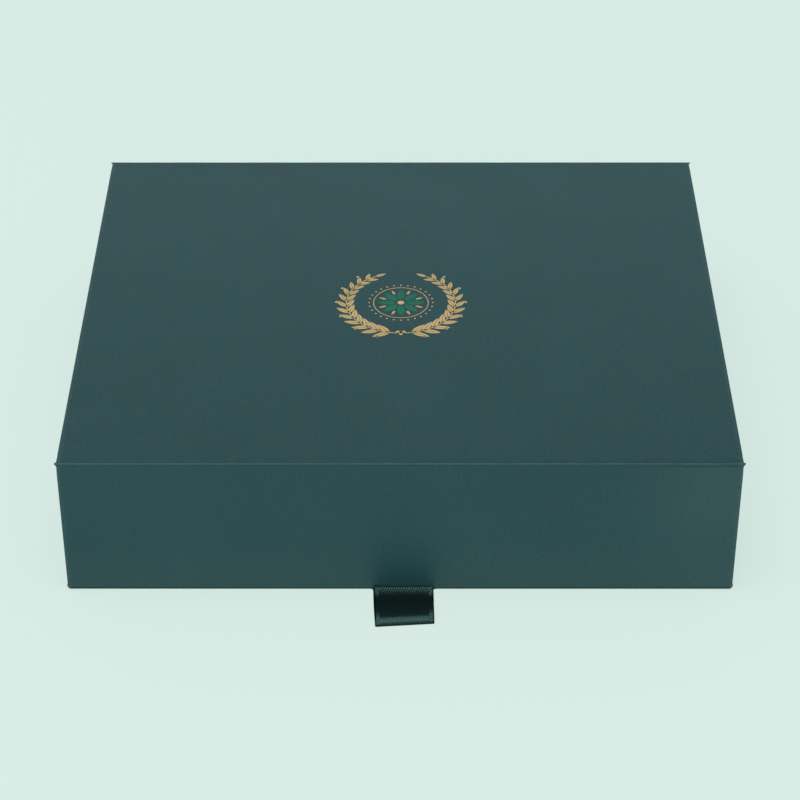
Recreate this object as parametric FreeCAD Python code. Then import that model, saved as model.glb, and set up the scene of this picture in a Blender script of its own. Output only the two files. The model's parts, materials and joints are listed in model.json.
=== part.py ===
import FreeCAD, Part
import math
import os

from FreeCAD import Vector

# A rigid gift box with a hinged lid, a front flap held by magnets and a ribbon pull.
# A wrapped case of four boards (base, spine, lid, flap) folds round a glued tray.
# The frame: X to the right, Y to the back, Z up, millimetres.
# The origin is the middle of the case's outline on the surface that the box stands on.

# Overall size of the closed case, over its paper
case_width = 280.0
case_depth = 244.3
case_height = 66.1

# Boards and papers
case_board = 2.5
tray_board = 2.0
paper = 0.2
turn_in = 15.0
edge_radius = 0.4
liner_margin = 3.0

# Paper folds between the case boards
fold_reach = 3.2
fold_drop = 1.8
fold_radius = 1.0
groove_depth = 0.18
hinge_leg = 10.0
ear_reach = 0.75
ear_inside = 2.0
ear_tip_share = 0.3
ear_plug_share = 0.9
corner_tuck = 0.3
corner_tuck_height = 2.0

# Running gaps
flap_lift = 0.8
flap_clearance = 0.3
lid_clearance = 0.2
tray_overhang = 1.5

# Corner tape inside the tray's paper
stay_thickness = 0.15
stay_leg = 12.0
stay_inset = 2.0

# Magnets and the tape over them
magnet_diameter = 12.0
magnet_thickness = 1.5
magnet_spacing = 180.0
magnet_height = 30.0
magnet_clearance = 0.1
tape_side = 18.0
tape_thickness = 0.1

# Ribbon pull
ribbon_width = 25.0
ribbon_thickness = 0.25
ribbon_offset = 1.6
ribbon_tail = 13.0
loop_reach = 23.2
loop_skew = 1.6
loop_hump = 2.5
loop_end_height = 1.0
loop_floor_gap = 0.05
loop_hinge_gap = 0.45
loop_settle = 2.0
loop_root_plies = 6
loop_cut_margin = 1.0

# The loop's upper ply from the side: places as shares of its length, heights as shares
# of the climb from the flap's edge to the hump and of the fall from the hump to the end
climb_place = 0.28
climb_share = 0.3
hump_place = 0.62
fall_place = 0.84
fall_share = 0.42

# Lines that several pieces share
case_half = case_width / 2
case_front = -case_depth / 2
case_back = case_depth / 2
board_half = case_half - paper
window_half = board_half - turn_in
liner_half = board_half - liner_margin

lid_top = case_height - paper
lid_under = lid_top - case_board
lid_front = case_front + paper + fold_reach
lid_back = case_back - paper - fold_drop

flap_outer = case_front + paper
flap_inner = flap_outer + case_board
flap_bottom = flap_lift + paper
flap_top = lid_top - fold_drop
flap_pack = flap_inner + paper + 2 * ribbon_thickness + paper

spine_outer = case_back - paper
spine_inner = spine_outer - case_board
spine_bottom = paper + fold_drop
spine_top = lid_top - fold_reach

base_top = paper + case_board
base_back = spine_outer - fold_reach

tray_half = case_half - tray_overhang
tray_front = flap_pack + flap_clearance
tray_back = spine_inner - paper - stay_thickness
tray_bottom = base_top + 2 * paper
tray_rim = lid_under - 2 * paper - lid_clearance
tray_floor_top = tray_bottom + tray_board
wall_half = tray_half - paper
wall_front = tray_front + paper
wall_back = tray_back - paper
wall_top = tray_rim - paper
core_half = wall_half - tray_board
core_front = wall_front + tray_board
core_back = wall_back - tray_board

ribbon_pair = 2 * ribbon_thickness
ribbon_left = ribbon_offset - ribbon_width / 2
ribbon_right = ribbon_offset + ribbon_width / 2
loop_pivot = (case_front - loop_hinge_gap, flap_lift - ribbon_thickness)

# Length of paper between two boards, measured along the middle of the folded sheets
fold_middle_radius = fold_radius - paper
fold_length = fold_reach + fold_drop - (2 - math.pi / 2) * fold_middle_radius
pivot_along = (fold_length + fold_reach - fold_drop) / 2
pivot_out = (fold_length - fold_reach - fold_drop) / 2


def block(x, y, z):
    """A box from three (low, high) pairs."""
    corner = Vector(x[0], y[0], z[0])
    return Part.makeBox(x[1] - x[0], y[1] - y[0], z[1] - z[0], corner)


def grow(pair, by):
    """A (low, high) pair moved apart by the same amount at both ends."""
    return (pair[0] - by, pair[1] + by)


def both_ways(half):
    """A (low, high) pair centred on zero."""
    return (-half, half)


def fuse(pieces):
    """One solid from touching or overlapping pieces."""
    whole = pieces[0]
    for piece in pieces[1:]:
        whole = whole.fuse(piece)
    return whole.removeSplitter()


def round_edges(shape, wanted):
    """Round the edges that a test picks by their middle point and direction."""
    edges = []
    for edge in shape.Edges:
        start = edge.Vertexes[0].Point
        end = edge.Vertexes[-1].Point
        if wanted((start + end) * 0.5, (end - start).normalize()):
            edges.append(edge)
    return shape.makeFillet(edge_radius, edges)


def near(a, b):
    """Whether two lengths are the same, apart from rounding."""
    return abs(a - b) < 1e-6


def runs(way, axis):
    """Whether a direction lies along an axis."""
    return near(abs(way.dot(axis)), 1.0)


def upright(x, z, y):
    """A box from its X, Z and Y pairs: a standing panel's outline, then its thickness."""
    return block(x, y, z)


# Case boards
def lid_board():
    return block(both_ways(board_half), (lid_front, lid_back), (lid_under, lid_top))


def magnet_places():
    return (-magnet_spacing / 2, magnet_spacing / 2)


def magnets(face, into):
    """Two discs let into a board, flush with the face at y = face. into is +1 or -1 along Y."""
    discs = []
    for x in magnet_places():
        centre = Vector(x, face, magnet_height)
        discs.append(Part.makeCylinder(magnet_diameter / 2, magnet_thickness, centre, Vector(0, into, 0)))
    return discs


def magnet_pockets(face, into):
    """The round pockets that take the discs."""
    pockets = []
    for x in magnet_places():
        centre = Vector(x, face, magnet_height)
        radius = magnet_diameter / 2 + magnet_clearance
        pockets.append(Part.makeCylinder(radius, magnet_thickness, centre, Vector(0, into, 0)))
    return pockets


def magnet_tapes(face, out, spread=0.0):
    """A square of tape over each pocket. out is the side of the face that it lies on."""
    reach = (tape_thickness + spread) * out
    span = (min(face, face + reach), max(face, face + reach))
    half = tape_side / 2 + spread
    tapes = []
    for x in magnet_places():
        tapes.append(block((x - half, x + half), span, (magnet_height - half, magnet_height + half)))
    return tapes


def flap_board():
    board = block(both_ways(board_half), (flap_outer, flap_inner), (flap_bottom, flap_top))
    for pocket in magnet_pockets(flap_inner, -1):
        board = board.cut(pocket)
    return board


def spine_board():
    return block(both_ways(board_half), (spine_inner, spine_outer), (spine_bottom, spine_top))


def base_board():
    return block(both_ways(board_half), (tray_front + paper, base_back), (paper, base_top))


# Case papers: the outer sheet, its wrapped edges and its turned-in margin
def lid_wrap():
    length = (lid_front, lid_back)
    sheet = block(both_ways(case_half), length, (lid_under - paper, case_height))
    sheet = round_edges(sheet, lambda middle, way: runs(way, Vector(0, 1, 0)))
    board = block(both_ways(board_half), length, (lid_under, lid_top))
    window = block(both_ways(window_half), length, (lid_under - paper, lid_under))
    return sheet.cut(board).cut(window)


def spine_wrap():
    height = (spine_bottom, spine_top)
    sheet = block(both_ways(case_half), (spine_inner - paper, case_back), height)
    sheet = round_edges(sheet, lambda middle, way: runs(way, Vector(0, 0, 1)))
    board = block(both_ways(board_half), (spine_inner, spine_outer), height)
    window = block(both_ways(window_half), (spine_inner - paper, spine_inner), height)
    return sheet.cut(board).cut(window)


def end_outline(x, y, z):
    """A closed rectangle in a plane of constant X."""
    corners = [(y[0], z[0]), (y[1], z[0]), (y[1], z[1]), (y[0], z[1])]
    points = [Vector(x, a, b) for a, b in corners]
    return Part.makePolygon(points + points[:1])


def flap_tuck(side):
    """The small lump at the flap's free corner, where the paper's corner is folded in."""
    y = grow((case_front, flap_inner + paper), -edge_radius)
    z = (flap_lift + edge_radius, flap_lift + corner_tuck_height)
    foot = end_outline(side * case_half, y, z)
    tip = end_outline(side * (case_half + corner_tuck), grow(y, -edge_radius), grow(z, -edge_radius))
    return Part.makeLoft([foot, tip], True, True)


def flap_wrap():
    """Wrapped at both ends and along the bottom, open at the top where the fold starts."""
    thickness = (case_front, flap_inner + paper)
    sheet = block(both_ways(case_half), thickness, (flap_lift, flap_top))
    sheet = round_edges(sheet, lambda middle, way: not near(middle.z, flap_top))
    sheet = fuse([sheet, flap_tuck(-1), flap_tuck(1)])
    board = block(both_ways(board_half), (flap_outer, flap_inner), (flap_bottom, flap_top))
    inside = (flap_bottom + turn_in, flap_top)
    window = upright(both_ways(window_half), inside, (flap_inner, flap_inner + paper))
    return sheet.cut(board).cut(window)


def base_wrap():
    """Wrapped at both ends and along the front, open at the back where the fold starts."""
    height = (0.0, base_top + paper)
    sheet = block(both_ways(case_half), (tray_front, base_back), height)
    sheet = round_edges(sheet, lambda middle, way: not near(middle.y, base_back))
    board = block(both_ways(board_half), (tray_front + paper, base_back), (paper, base_top))
    inside = (tray_front + paper + turn_in, base_back)
    window = block(both_ways(window_half), inside, (base_top, base_top + paper))
    return sheet.cut(board).cut(window)


# Paper folds. Each is drawn in the plane across the fold: u runs along the first board's
# outer face towards the fold, w runs out of that face, and (0, 0) is the board's outer edge.
def fold_frame(origin, along, out):
    def place(u, w, x=0.0):
        y = origin[0] + u * along[0] + w * out[0]
        z = origin[1] + u * along[1] + w * out[1]
        return Vector(x, y, z)

    return place


front_fold = fold_frame((lid_front, lid_top), (-1, 0), (0, 1))
back_fold = fold_frame((spine_outer, spine_top), (0, 1), (1, 0))
bottom_fold = fold_frame((base_back, paper), (1, 0), (0, -1))


def fold_line(place, x, depth):
    """The folded sheet's line, depth under its outer face: groove, ridge, groove."""
    far = fold_reach + paper
    top = paper - depth
    front = far - depth
    radius = fold_radius - depth
    centre = (far - fold_radius, paper - fold_radius)
    slant = radius * math.sqrt(0.5)
    first_groove = (centre[0] / 2, top - groove_depth)
    second_groove = (front - groove_depth, (centre[1] - fold_drop) / 2)
    points = [
        (0, top),
        first_groove,
        (centre[0], top),
        (centre[0] + slant, centre[1] + slant),
        (front, centre[1]),
        second_groove,
        (front, -fold_drop),
    ]
    places = [place(u, w, x) for u, w in points]
    return [Part.Arc(*places[i:i + 3]).toShape() for i in (0, 2, 4)]


def sheet_face(place, x, upper, lower):
    """The cut face of one ply, between two depths under the outer face."""
    outside = fold_line(place, x, upper)
    inside = fold_line(place, x, lower)
    start = Part.makeLine(outside[0].Vertexes[0].Point, inside[0].Vertexes[0].Point)
    end = Part.makeLine(outside[2].Vertexes[-1].Point, inside[2].Vertexes[-1].Point)
    return Part.Face(Part.Wire(Part.__sortEdges__(outside + inside + [start, end])))


def ply(place, x, number):
    """One ply of the folded sheet; number 0 is the outer one."""
    face = sheet_face(place, x[0], number * paper, (number + 1) * paper)
    return face.extrude(Vector(x[1] - x[0], 0, 0))


def strip(place, x, u, w):
    """A flat stretch of one ply: a box in the fold's own frame."""
    low = place(u[0], w[0], x[0])
    high = place(u[1], w[1], x[1])
    ends = [(min(a, b), max(a, b)) for a, b in zip(low, high)]
    return block(*ends)


def inner_ply(place, x, leg):
    """The ply inside a fold: it dips over one board's edge, lines the fold and turns over
    the other board's edge. Each leg lies on a board's inner face; with no leg it stops there."""
    lining = ply(place, x, 1)
    under = -case_board - paper
    far_face = fold_reach - case_board - paper
    over_edge = (-fold_drop, -fold_drop + paper)
    near_edge = strip(place, x, (0, paper), (under, -paper))
    far_edge = strip(place, x, (far_face, fold_reach - paper), over_edge)
    pieces = [lining, near_edge, far_edge]
    if leg > 0:
        pieces.append(strip(place, x, (-leg, paper), (under, -case_board)))
        pieces.append(strip(place, x, (far_face, far_face + paper), (-fold_drop - leg, over_edge[1])))
    return fuse(pieces)


def ear_wire(place, x, share):
    """The pinched end of a fold, seen along it: the ridge closed by a chord. share scales it."""
    far = fold_reach + paper
    middle = far - fold_radius / 2
    height = paper - fold_radius / 2
    leg = (fold_drop + paper - fold_radius) * ear_plug_share
    slant = fold_radius * (1 - math.sqrt(0.5))
    points = [
        (far - fold_radius - leg, paper),
        (far - fold_radius, paper),
        (far - slant, paper - slant),
        (far, paper - fold_radius),
        (far, paper - fold_radius - leg),
    ]
    places = []
    for u, w in points:
        places.append(place(middle + (u - middle) * share, height + (w - height) * share, x))
    edges = [
        Part.makeLine(places[0], places[1]),
        Part.Arc(places[1], places[2], places[3]).toShape(),
        Part.makeLine(places[3], places[4]),
        Part.makeLine(places[4], places[0]),
    ]
    return Part.Wire(edges)


def ear(place, side):
    """The ear at one end of a fold: a plug in the fold that runs out to a blunt point."""
    inside = side * (board_half - ear_inside)
    flush = side * case_half
    tip = side * (case_half + ear_reach)
    foot = ear_wire(place, flush, 1.0)
    plug = Part.makeLoft([ear_wire(place, inside, ear_plug_share), foot], True, True)
    point = Part.makeLoft([foot, ear_wire(place, tip, ear_tip_share)], True, True)
    return fuse([plug, point])


def fold(place):
    """The wrap's own paper over a fold, doubled at both ends by its turned-in margin."""
    pieces = [ply(place, both_ways(case_half), 0)]
    pieces.append(inner_ply(place, (-case_half, -window_half), 0))
    pieces.append(inner_ply(place, (window_half, case_half), 0))
    pieces.append(ear(place, -1))
    pieces.append(ear(place, 1))
    return fuse(pieces)


def hinge_liner(place):
    """The inside strip over a moving fold, between the turned-in margins."""
    return inner_ply(place, both_ways(window_half), hinge_leg)


# Liners
def stepped_sheet(outline, window, level, out, to_block):
    """A sheet that covers a panel's inner face. It lies on the board in the window and steps
    up by one paper over the turned-in margins. out is the way that the face looks, +1 or -1,
    and to_block makes a box from two pairs of the outline and one of the thickness."""
    near_face = sorted((level, level + out * paper))
    far_face = sorted((level + out * paper, level + out * 2 * paper))
    dip = to_block(window[0], window[1], near_face)
    hole = to_block(grow(window[0], -paper), grow(window[1], -paper), far_face)
    rim = to_block(outline[0], outline[1], far_face).cut(hole)
    return fuse([dip, rim])


def lid_liner():
    outline = (both_ways(liner_half), (lid_front + liner_margin, lid_back - liner_margin))
    window = (both_ways(window_half), (lid_front + hinge_leg, lid_back - hinge_leg))
    return stepped_sheet(outline, window, lid_under, -1, block)


def flap_liner():
    """The flap's inside sheet, raised over the ribbon's tails and the magnets' tape."""
    foot = flap_bottom + liner_margin
    outline = (both_ways(liner_half), (foot, flap_top - liner_margin))
    window = (both_ways(window_half), (flap_bottom + turn_in, flap_top - hinge_leg))
    sheet = stepped_sheet(outline, window, flap_inner, 1, upright)
    raised = [tail_block(foot, paper)] + magnet_tapes(flap_inner, 1, paper)
    sheet = fuse([sheet] + raised)
    for piece in [tail_block(foot)] + magnet_tapes(flap_inner, 1):
        sheet = sheet.cut(piece)
    return sheet


# Tray
def tray_floor():
    return block(both_ways(core_half), (core_front, core_back), (tray_bottom, tray_floor_top))


def tray_front_wall():
    wall = block(both_ways(wall_half), (wall_front, core_front), (tray_bottom, wall_top))
    for pocket in magnet_pockets(wall_front, 1):
        wall = wall.cut(pocket)
    return wall


def tray_back_wall():
    return block(both_ways(wall_half), (core_back, wall_back), (tray_bottom, wall_top))


def tray_side_wall(side):
    x = sorted((side * core_half, side * wall_half))
    return block(x, (core_front, core_back), (tray_bottom, wall_top))


def corner_stay(side, end, spread=0.0):
    """Gummed tape round one upright corner of the tray. spread thickens it outwards."""
    thickness = stay_thickness + spread
    x_out = side * (wall_half + thickness)
    x_in = side * (wall_half - stay_leg - spread)
    face = wall_back if end > 0 else wall_front
    y_out = face + end * thickness
    y_in = face - end * (stay_leg + spread)
    height = (tray_bottom + stay_inset - spread, wall_top - stay_inset + spread)
    outside = block(sorted((x_in, x_out)), sorted((y_in, y_out)), height)
    if spread > 0:
        outside = round_edges(outside, lambda middle, way: near(middle.x, x_out) and near(middle.y, y_out))
    inside = block(sorted((0.0, side * wall_half)), sorted((0.0, face)), height)
    return outside.cut(inside)


def corner_stays(spread=0.0):
    return [corner_stay(side, end, spread) for side in (-1, 1) for end in (-1, 1)]


def tray_wrap():
    """The tray's paper: outside, over the rim, down the inside and turned in under the floor."""
    height = (tray_bottom - paper, tray_rim)
    skin = block(both_ways(tray_half), (tray_front, tray_back), height)
    skin = round_edges(skin, lambda middle, way: not near(middle.z, height[0]))
    skin = fuse([skin] + corner_stays(paper) + magnet_tapes(wall_front, -1, paper))
    boards = block(both_ways(wall_half), (wall_front, wall_back), (tray_bottom, wall_top))
    core = block(both_ways(core_half), (core_front, core_back), (tray_floor_top, wall_top))
    depth = (core_front + paper, core_back - paper)
    space = block(both_ways(core_half - paper), depth, (tray_floor_top, tray_rim))
    under = (tray_front + turn_in, tray_back - turn_in)
    window = block(both_ways(tray_half - turn_in), under, (tray_bottom - paper, tray_bottom))
    for piece in [boards.cut(core), space, window] + corner_stays() + magnet_tapes(wall_front, -1):
        skin = skin.cut(piece)
    return skin


def tray_floor_liner():
    height = (tray_floor_top, tray_floor_top + paper)
    return block(both_ways(core_half - paper), (core_front + paper, core_back - paper), height)


# Ribbon pull: both tails are glued under the flap's liner, go under the flap's edge
# and run out into a flat loop that is a little longer on its left side.
def tail_block(foot, spread=0.0):
    """The straight part of the tails on the flap's inner side, from a height up."""
    x = grow((ribbon_left, ribbon_right), spread)
    y = (flap_inner + paper, flap_inner + paper + ribbon_pair + spread)
    return block(x, y, (foot, flap_bottom + ribbon_tail + spread))


def pull_ribbon_tails():
    """Two plies together: up the flap's inner side, round its bottom edge and out under it."""
    face = flap_inner + paper
    x = (ribbon_left, ribbon_right)
    centre = Vector(ribbon_left, face - edge_radius, flap_lift + edge_radius)
    reach = edge_radius + ribbon_pair
    round_bar = Part.makeCylinder(reach, ribbon_width, centre, Vector(1, 0, 0))
    round_bar = round_bar.cut(Part.makeCylinder(edge_radius, ribbon_width, centre, Vector(1, 0, 0)))
    bend = round_bar.common(block(x, (centre.y, centre.y + reach), (centre.z - reach, centre.z)))
    rise = block(x, (face, face + ribbon_pair), (centre.z, flap_bottom + ribbon_tail))
    level = block(x, (case_front, centre.y), (flap_lift - ribbon_pair, flap_lift))
    return fuse([bend, rise, level])


def loop_wire(x, reach, inset=0.0):
    """The loop's outline seen along X, or with an inset the outline of the space in it.
    s runs forwards from the hinge line, z up from the surface that the box stands on."""
    low = loop_floor_gap + inset
    high = loop_end_height - inset
    start = inset * loop_root_plies
    root = (flap_lift - ribbon_pair + inset, flap_lift - inset)
    climb = loop_hump - flap_lift
    fall = loop_hump - loop_end_height
    end_round = (loop_end_height - loop_floor_gap) / 2
    crown = [
        (start, root[1]),
        (reach * climb_place, flap_lift + climb * climb_share - inset),
        (reach * hump_place, loop_hump - inset),
        (reach * fall_place, loop_hump - fall * fall_share - inset),
        (reach - end_round, high),
    ]
    nose = (reach - inset, (low + high) / 2)
    heel = (reach - end_round, low)
    settled = (start + loop_settle, low)

    def point(s, z):
        return Vector(x, loop_pivot[0] - s, z)

    curve = Part.BSplineCurve()
    curve.interpolate([point(s, z) for s, z in crown])
    edges = [
        curve.toShape(),
        Part.Arc(point(*crown[-1]), point(*nose), point(*heel)).toShape(),
        Part.makeLine(point(*heel), point(*settled)),
        Part.makeLine(point(*settled), point(start, root[0])),
    ]
    if inset == 0.0:
        edges.append(Part.makeLine(point(start, root[0]), point(start, root[1])))
    return Part.Wire(edges)


def pull_ribbon_loop():
    """One ply out, folded at the loop's end, one ply back."""
    reaches = (loop_reach + loop_skew / 2, loop_reach - loop_skew / 2)
    ends = (ribbon_left, ribbon_right)
    skin = [loop_wire(x, reach) for x, reach in zip(ends, reaches)]
    through = zip(grow(ends, loop_cut_margin), reaches)
    space = [loop_wire(x, reach, ribbon_thickness) for x, reach in through]
    return Part.makeLoft(skin, True, True).cut(Part.makeLoft(space, True, True))


nodes = {
    "base_board": base_board(),
    "spine_board": spine_board(),
    "lid_board": lid_board(),
    "flap_board": flap_board(),
    "base_wrap": base_wrap(),
    "spine_wrap": spine_wrap(),
    "lid_wrap": lid_wrap(),
    "flap_wrap": flap_wrap(),
    "base_fold": fold(bottom_fold),
    "back_hinge": fold(back_fold),
    "front_hinge": fold(front_fold),
    "back_hinge_liner": hinge_liner(back_fold),
    "front_hinge_liner": hinge_liner(front_fold),
    "lid_liner": lid_liner(),
    "flap_liner": flap_liner(),
    "flap_magnets": Part.makeCompound(magnets(flap_inner, -1)),
    "flap_magnet_tapes": Part.makeCompound(magnet_tapes(flap_inner, 1)),
    "tray_magnets": Part.makeCompound(magnets(wall_front, 1)),
    "tray_magnet_tapes": Part.makeCompound(magnet_tapes(wall_front, -1)),
    "tray_floor": tray_floor(),
    "tray_front_wall": tray_front_wall(),
    "tray_back_wall": tray_back_wall(),
    "tray_left_wall": tray_side_wall(-1),
    "tray_right_wall": tray_side_wall(1),
    "tray_corner_stays": Part.makeCompound(corner_stays()),
    "tray_wrap": tray_wrap(),
    "tray_floor_liner": tray_floor_liner(),
    "pull_ribbon_tails": pull_ribbon_tails(),
    "pull_ribbon_loop": pull_ribbon_loop(),
}

os.makedirs("parts", exist_ok=True)
for name, shape in nodes.items():
    shape.exportStep("parts/" + name + ".step")
    state = "valid" if shape.isValid() else "not valid"
    print(name, len(shape.Solids), "solid(s)", round(shape.Volume, 2), "mm3", state)

lid_pivot = back_fold(pivot_along, pivot_out)
flap_pivot = front_fold(pivot_along, pivot_out)
print("lid hinge line", lid_pivot)
print("flap hinge line", flap_pivot)
print("ribbon hinge line", loop_pivot)
print("tray space, half width", core_half - paper)
print("tray space, front to back", core_front + paper, core_back - paper)
print("tray space, floor to rim", tray_floor_top + paper, tray_rim)
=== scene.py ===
# %% [markdown]
# # A gift box, dressed
# The imported model is a gift box with a hinged lid, a front flap held by magnets and a ribbon pull.
# Its boards and papers already lie where they belong. This lesson gives every piece its finish,
# and swaps the plain papers, folds and ribbon for modelled ones. First the frame is loaded. The
# dressed box has to stay as large as the imported one.

# %% The frame
import json
import math

import bmesh
import bpy
from mathutils import Matrix, Vector, noise
from mathutils.geometry import interpolate_bezier
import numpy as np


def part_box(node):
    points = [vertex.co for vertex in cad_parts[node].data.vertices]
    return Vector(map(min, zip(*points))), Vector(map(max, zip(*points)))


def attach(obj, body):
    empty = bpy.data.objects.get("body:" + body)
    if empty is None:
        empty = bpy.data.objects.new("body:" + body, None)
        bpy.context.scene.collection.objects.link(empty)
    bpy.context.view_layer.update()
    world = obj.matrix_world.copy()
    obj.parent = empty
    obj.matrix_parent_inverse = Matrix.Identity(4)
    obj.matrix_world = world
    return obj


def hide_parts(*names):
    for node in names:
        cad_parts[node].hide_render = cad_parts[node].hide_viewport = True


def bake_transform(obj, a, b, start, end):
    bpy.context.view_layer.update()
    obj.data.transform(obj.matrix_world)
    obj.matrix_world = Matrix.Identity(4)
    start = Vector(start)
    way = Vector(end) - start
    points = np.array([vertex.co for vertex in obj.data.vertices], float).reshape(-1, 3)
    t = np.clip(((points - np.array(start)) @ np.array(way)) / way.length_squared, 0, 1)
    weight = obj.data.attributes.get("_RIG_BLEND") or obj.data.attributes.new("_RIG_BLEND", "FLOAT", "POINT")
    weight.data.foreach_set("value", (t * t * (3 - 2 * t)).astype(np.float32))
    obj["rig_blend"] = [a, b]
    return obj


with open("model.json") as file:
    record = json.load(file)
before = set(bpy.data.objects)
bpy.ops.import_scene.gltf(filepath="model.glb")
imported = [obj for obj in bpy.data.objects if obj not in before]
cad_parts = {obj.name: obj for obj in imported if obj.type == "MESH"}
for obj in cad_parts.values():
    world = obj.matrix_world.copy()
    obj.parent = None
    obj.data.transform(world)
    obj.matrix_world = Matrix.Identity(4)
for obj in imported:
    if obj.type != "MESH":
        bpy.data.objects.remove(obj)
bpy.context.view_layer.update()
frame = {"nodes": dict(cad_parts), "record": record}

# %% [markdown]
# ## Sizes from the frame
# Blender works in metres and the box is drawn in millimetres, so one name turns the one into
# the other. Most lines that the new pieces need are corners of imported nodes. Reading them
# from the frame keeps a paper on its board when the box changes size.

# %% Shared lines
mm = 0.001
paper = 0.2 * mm
edge_radius = 0.4 * mm
turn_in = 15 * mm
liner_margin = 3 * mm
hinge_leg = 10 * mm

lid_low, lid_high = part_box("lid_wrap")
flap_low, flap_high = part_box("flap_wrap")
spine_low, spine_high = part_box("spine_wrap")
base_low, base_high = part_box("base_wrap")
tray_low, tray_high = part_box("tray_wrap")
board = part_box("lid_board")[1].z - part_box("lid_board")[0].z

case_half = lid_high.x
case_front = flap_low.y
case_back = spine_high.y
case_top = lid_high.z
window_half = case_half - paper - turn_in
fold_reach = lid_low.y - case_front - paper
fold_drop = case_top - paper - flap_high.z
print("case", [round(v / mm, 1) for v in (2 * case_half, case_back - case_front, case_top)], "mm")

# %% [markdown]
# ## Camera
# The picture is taken from the front and above with a long lens. The lens is given in pixels
# of an 800 pixel picture, and the camera's place as multiples of the box's width. Three small
# turns aim it: how far it looks down, how far it looks aside, and a slight tilt.

# %% Camera
picture_side = 800
lens_in_pixels = 2494.7
sensor_width = 36.0
camera_place = Vector((0.00672, -3.33218, 2.41061)) * (2 * case_half)
look_down = math.radians(35.44)
look_aside = math.radians(0.126)
tilt = math.radians(-0.070)


def added(name, data):
    """A new object in the scene for a mesh, a lamp or a camera."""
    made = bpy.data.objects.new(name, data)
    bpy.context.scene.collection.objects.link(made)
    return made


forward = Vector((
    -math.sin(look_aside) * math.cos(look_down),
    math.cos(look_aside) * math.cos(look_down),
    -math.sin(look_down),
))
level = Vector((math.cos(look_aside), math.sin(look_aside), 0))
upward = level.cross(forward)
right = level * math.cos(tilt) + upward * math.sin(tilt)
up = upward * math.cos(tilt) - level * math.sin(tilt)
turn = Matrix((right, up, -forward)).transposed().to_4x4()

lens = bpy.data.cameras.new("camera")
lens.sensor_width = sensor_width
lens.lens = lens_in_pixels * sensor_width / picture_side
camera = added("camera", lens)
camera.matrix_world = Matrix.Translation(camera_place) @ turn
bpy.context.scene.camera = camera
print("lens", round(lens.lens, 1), "mm, camera", [round(v, 3) for v in camera_place])

# %% [markdown]
# ## Helpers for materials
# Every material starts as a Principled shader. One helper gives a socket its value, be it a
# number, a colour or another node's output. The others add a node and return what it makes, so
# that each finish below reads as a short list of what it is made of. A roughness set beside a
# pattern is its mean, for viewers that drop the pattern.

# %% Material helpers
def wire(tree, value, socket):
    """Links an output to a socket, or sets the socket to a number or a colour."""
    if isinstance(value, bpy.types.NodeSocket):
        tree.links.new(value, socket)
    elif socket.type == "RGBA":
        socket.default_value = (*value, 1)
    else:
        socket.default_value = value


def fill(tree, made, **sockets):
    """Gives a node's sockets, named with _ for a space, their values."""
    for name, value in sockets.items():
        wire(tree, value, made.inputs[name.replace("_", " ")])
    return made


def node(tree, kind, **sockets):
    """A node of that kind: its name without ShaderNode."""
    return fill(tree, tree.nodes.new("ShaderNode" + kind), **sockets)


def finish(name, **sockets):
    """A new material, its node tree and its Principled shader."""
    material = bpy.data.materials.new(name)
    material.use_nodes = True
    tree = material.node_tree
    return material, tree, fill(tree, tree.nodes["Principled BSDF"], **sockets)


def place(tree):
    """Where a point lies in the piece's own frame, in metres."""
    return node(tree, "TexCoord").outputs["Object"]


def carried(tree, layer):
    """A number that the piece's points carry under that name."""
    made = node(tree, "Attribute")
    made.attribute_name = layer
    return made.outputs["Fac"]


def grain(tree, where, size, detail=2.0, roughness=0.5):
    """Noise from 0 to 1 whose patches are about that large."""
    made = node(tree, "TexNoise", Vector=where, Scale=1 / size, Detail=detail, Roughness=roughness)
    return made.outputs["Fac"]


def ramp(tree, value, *stops):
    """Colours along a value. Each stop is a place from 0 to 1 and a colour."""
    made = node(tree, "ValToRGB", Fac=value)
    elements = made.color_ramp.elements
    while len(elements) < len(stops):
        elements.new(0.5)
    for element, (position, colour) in zip(elements, stops):
        element.position = position
        element.color = (*colour, 1)
    return made.outputs["Color"]


def sums(tree, operation, *values, kind="Math"):
    """Up to three values put together by a Math node."""
    made = node(tree, kind)
    made.operation = operation
    for value, socket in zip(values, made.inputs):
        wire(tree, value, socket)
    return made.outputs[0]


def between(tree, share, least, most):
    """A value that goes from least to most while the share goes from 0 to 1."""
    return sums(tree, "MULTIPLY_ADD", share, most - least, least)


def smooth(tree, value, low, high, least=0.0):
    """A soft step of a value: least below low, rising to 1 above high."""
    made = node(tree, "MapRange", Value=value, From_Min=low, From_Max=high, To_Min=least)
    made.interpolation_type = "SMOOTHSTEP"
    return made.outputs["Result"]


def mixed(tree, share, first, second):
    """Two colours mixed by a share."""
    made = node(tree, "Mix", Factor=share)
    made.data_type = "RGBA"
    wire(tree, first, made.inputs[6])
    wire(tree, second, made.inputs[7])
    return made.outputs[2]


def bumped(tree, shader, *layers):
    """Relief from layers, each a height from 0 to 1, a distance in metres and a strength."""
    normal = None
    for height, distance, strength in layers:
        made = node(tree, "Bump", Height=height, Distance=distance, Strength=strength)
        if normal is not None:
            wire(tree, normal, made.inputs["Normal"])
        normal = made.outputs["Normal"]
    wire(tree, normal, shader.inputs["Normal"])
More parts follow.
